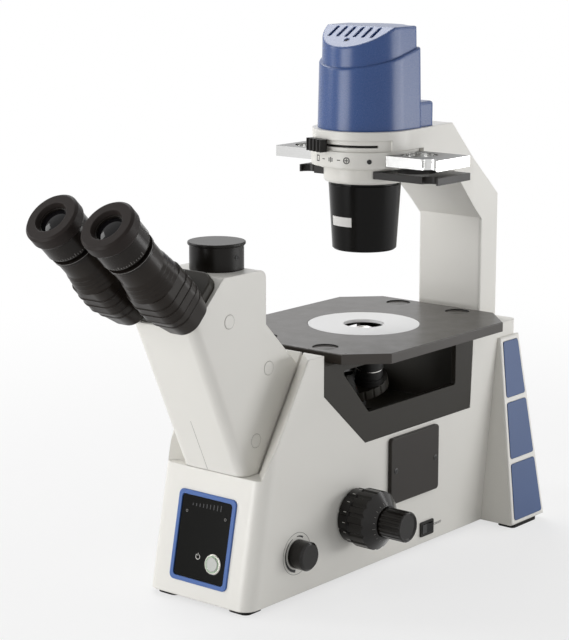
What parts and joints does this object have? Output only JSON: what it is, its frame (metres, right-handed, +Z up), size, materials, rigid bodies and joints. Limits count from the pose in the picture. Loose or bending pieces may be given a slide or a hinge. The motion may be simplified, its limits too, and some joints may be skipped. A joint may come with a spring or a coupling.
{
  "type": "inverted microscope",
  "caption": "Inverted microscope: tilted trinocular head, octagonal stage over an objective turret, coaxial focus knobs, and a condenser and lamp on a rear column.",
  "frame": {"origin": "the point of the bench under the optical axis of the objective and the condenser, in the plane the feet stand on", "axes": "+X to the user's right, +Y to the rear, away from the user, +Z up along the optical axis"},
  "size_m": [0.252, 0.5886, 0.513],
  "materials": {
    "white_paint": "die-cast, satin warm light-grey enamel",
    "black_paint": "die-cast, satin black enamel with a fine grain",
    "black_plastic": "fine-grained black moulding",
    "gloss_black": "glossy black",
    "blue_plastic": "semi-gloss blue moulding",
    "rubber": "black rubber",
    "glass": "polished, coated optical glass",
    "mirror": "front-surface mirror",
    "aluminium": "milled and clear anodised",
    "steel": "turned and brushed",
    "brass": "turned bearing brass",
    "chrome": "satin chrome"
  },
  "bodies": {
    "stand": {"base_casting": "white_paint", "base_plate": "black_paint", "right_leg": "white_paint", "left_leg": "white_paint", "leg_panels": "blue_plastic", "feet": "rubber", "power_inlet": "black_plastic", "head_housing": "white_paint", "head_plugs": "white_paint", "tube_lens": "glass", "head_prism": "glass", "photo_tube": "aluminium", "bino_mount": "black_paint", "relay_mirrors": "mirror", "mirror_posts": "aluminium", "front_bezel": "blue_plastic", "front_panel": "gloss_black", "button_ring": "steel", "rocker_frame": "black_plastic", "side_cover": "black_plastic", "stage_bracket": "black_paint", "stage_plate": "black_paint", "illumination_arm": "white_paint", "condenser_carrier": "white_paint", "slider_ring": "white_paint", "condenser_cup": "gloss_black", "condenser_lens": "glass", "lamp_housing": "blue_plastic", "led_module": "aluminium", "heat_sink": "aluminium", "collector_lens": "glass", "focus_bearings": "brass", "focus_guide": "steel"},
    "coarse_drive": {"pinion_shaft": "steel", "coarse_knobs": "black_plastic"},
    "fine_drive": {"fine_shaft": "steel", "fine_knobs": "black_plastic"},
    "tension_ring": {"tension_ring": "black_plastic"},
    "focus_carriage": {"focus_carriage": "aluminium"},
    "turret": {"turret": "black_paint", "objectives": "chrome"},
    "brightness_knob": {"brightness_knob": "black_plastic"},
    "power_button": {"power_button": "steel"},
    "rocker": {"rocker": "gloss_black"},
    "upper_slider": {"upper_slider": "aluminium"},
    "lower_slider": {"lower_slider": "black_paint"},
    "aperture_ring": {"aperture_ring": "black_plastic"},
    "right_arm": {"right_arm": "black_plastic", "right_eyepiece": "aluminium", "right_eyecup": "rubber", "right_eye_lens": "glass"},
    "left_arm": {"left_arm": "black_plastic", "left_eyepiece": "aluminium", "left_eyecup": "rubber", "left_eye_lens": "glass"},
    "right_diopter": {"right_diopter_ring": "black_plastic"},
    "left_diopter": {"left_diopter_ring": "black_plastic"},
    "photo_cap": {"photo_cap": "black_plastic"},
    "stage_insert": {"stage_insert": "glass"}
  },
  "joints": [
    {"name": "coarse_turn", "type": "hinge", "parent": "stand", "child": "coarse_drive", "pos_m": [0, -0.095, 0.0615], "axis": [1, 0, 0], "range_deg": [-47.75, 38.2]},
    {"name": "focus_slide", "type": "slide", "parent": "stand", "child": "focus_carriage", "axis": [0, 0, 1], "range_m": [-0.005, 0.004]},
    {"name": "turret_turn", "type": "hinge", "parent": "focus_carriage", "child": "turret", "pos_m": [0, -0.02348, 0.17251], "axis": [0, -0.2079, 0.9781], "continuous": true},
    {"name": "fine_turn", "type": "hinge", "parent": "stand", "child": "fine_drive", "pos_m": [0, -0.095, 0.0615], "axis": [1, 0, 0], "continuous": true},
    {"name": "tension_turn", "type": "hinge", "parent": "stand", "child": "tension_ring", "pos_m": [0, -0.095, 0.0615], "axis": [1, 0, 0], "range_deg": [-120, 120]},
    {"name": "brightness_turn", "type": "hinge", "parent": "stand", "child": "brightness_knob", "pos_m": [0.062, -0.18, 0.0445], "axis": [1, 0, 0], "range_deg": [-135, 135]},
    {"name": "button_press", "type": "slide", "parent": "stand", "child": "power_button", "axis": [0, 0.9796, -0.2011], "range_m": [0, 0.0015], "stiffness_N_per_m": 1500, "springref_m": -0.0005},
    {"name": "rocker_tip", "type": "hinge", "parent": "stand", "child": "rocker", "pos_m": [0.0595, 0.0235, 0.0195], "axis": [0, 0, 1], "range_deg": [0, 14]},
    {"name": "upper_slider_move", "type": "slide", "parent": "stand", "child": "upper_slider", "axis": [1, 0, 0], "range_m": [-0.064, 0.064]},
    {"name": "lower_slider_move", "type": "slide", "parent": "stand", "child": "lower_slider", "axis": [1, 0, 0], "range_m": [-0.062, 0]},
    {"name": "aperture_turn", "type": "hinge", "parent": "stand", "child": "aperture_ring", "pos_m": [0, 0, 0.4022], "axis": [0, 0, 1], "range_deg": [-28, 64]},
    {"name": "right_arm_swing", "type": "hinge", "parent": "stand", "child": "right_arm", "pos_m": [0, -0.2715, 0.2875], "axis": [0, -0.7071, 0.7071], "range_deg": [-11.3, 15.4]},
    {"name": "left_arm_swing", "type": "hinge", "parent": "stand", "child": "left_arm", "pos_m": [0, -0.2715, 0.2875], "axis": [0, -0.7071, 0.7071], "range_deg": [-15.4, 11.3]},
    {"name": "right_diopter_turn", "type": "hinge", "parent": "right_arm", "child": "right_diopter", "pos_m": [0.0323, -0.36979, 0.35185], "axis": [0, -0.7071, 0.7071], "range_deg": [-120, 120]},
    {"name": "left_diopter_turn", "type": "hinge", "parent": "left_arm", "child": "left_diopter", "pos_m": [-0.0323, -0.36979, 0.35185], "axis": [0, -0.7071, 0.7071], "range_deg": [-120, 120]},
    {"name": "photo_cap_lift", "type": "slide", "parent": "stand", "child": "photo_cap", "axis": [0, 0, 1], "range_m": [0, 0.04]},
    {"name": "insert_lift", "type": "slide", "parent": "stand", "child": "stage_insert", "axis": [0, 0, 1], "range_m": [0, 0.03]}
  ],
  "couplings": [
    {"joint": "coarse_turn", "follows": "focus_slide", "rad_per_m": 166.67},
    {"joint": "left_arm_swing", "follows": "right_arm_swing", "ratio": -1}
  ]
}
